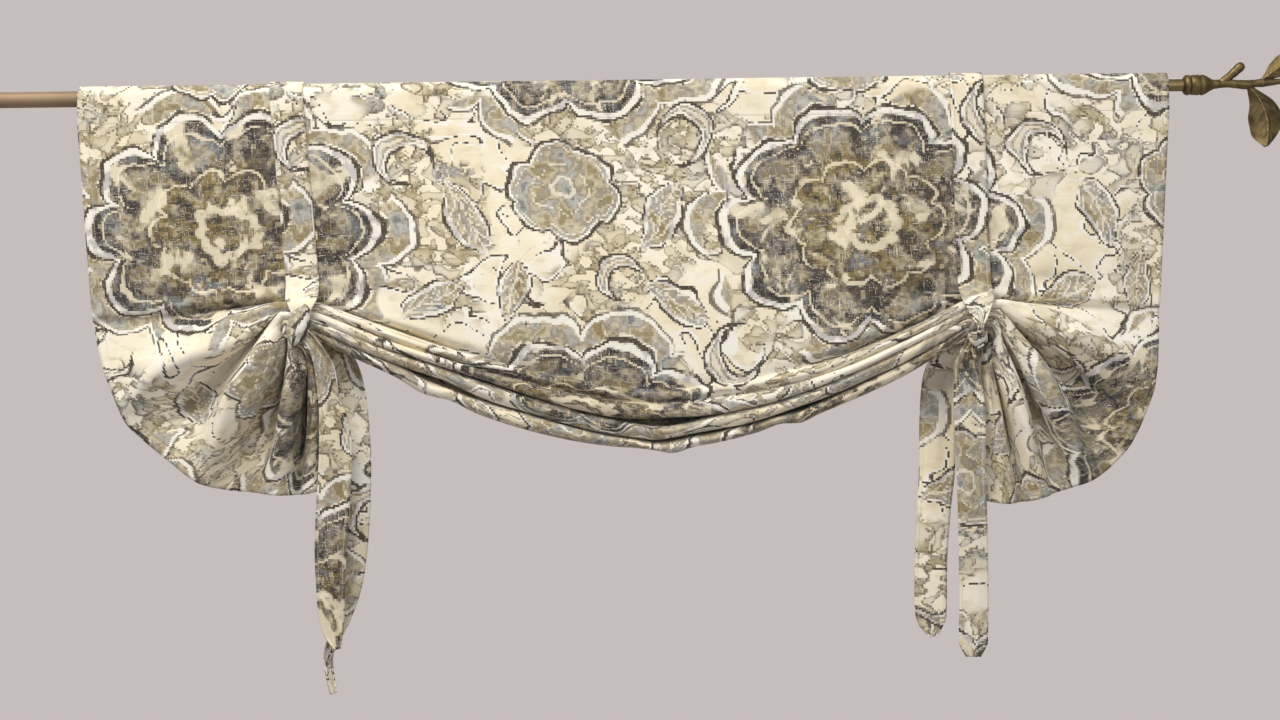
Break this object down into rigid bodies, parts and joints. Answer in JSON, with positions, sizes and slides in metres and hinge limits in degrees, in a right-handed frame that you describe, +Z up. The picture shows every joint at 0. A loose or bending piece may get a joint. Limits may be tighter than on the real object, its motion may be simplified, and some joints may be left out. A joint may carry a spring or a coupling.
{
  "type": "tie-up valance on a curtain rod",
  "caption": "Printed cotton valance gathered by two cloth ties into a swag and two side fans, hanging by its rod pocket on a telescopic curtain rod.",
  "frame": {"origin": "on the rod's axis, at the middle of the cloth's width", "axes": "+X along the rod, to the right seen from the front; -Y towards the room, the front of the cloth; +Z up"},
  "size_m": [1.3473, 0.063, 0.6343],
  "materials": {
    "printed_cotton": "matte slub cotton, cream with a charcoal, brown and grey medallion print",
    "tie_cotton": "matte slub cotton, the same print in folded strips",
    "satin_brass": "satin, champagne coloured",
    "olive_bronze": "dark olive bronze with rubbed highlights"
  },
  "bodies": {
    "root": {"panel": "printed_cotton", "tie_left": "tie_cotton", "tie_right": "tie_cotton", "rod_outer_tube": "satin_brass", "rod_inner_tube": "satin_brass", "rod_end_cap": "satin_brass", "finial": "olive_bronze"}
  },
  "joints": []
}
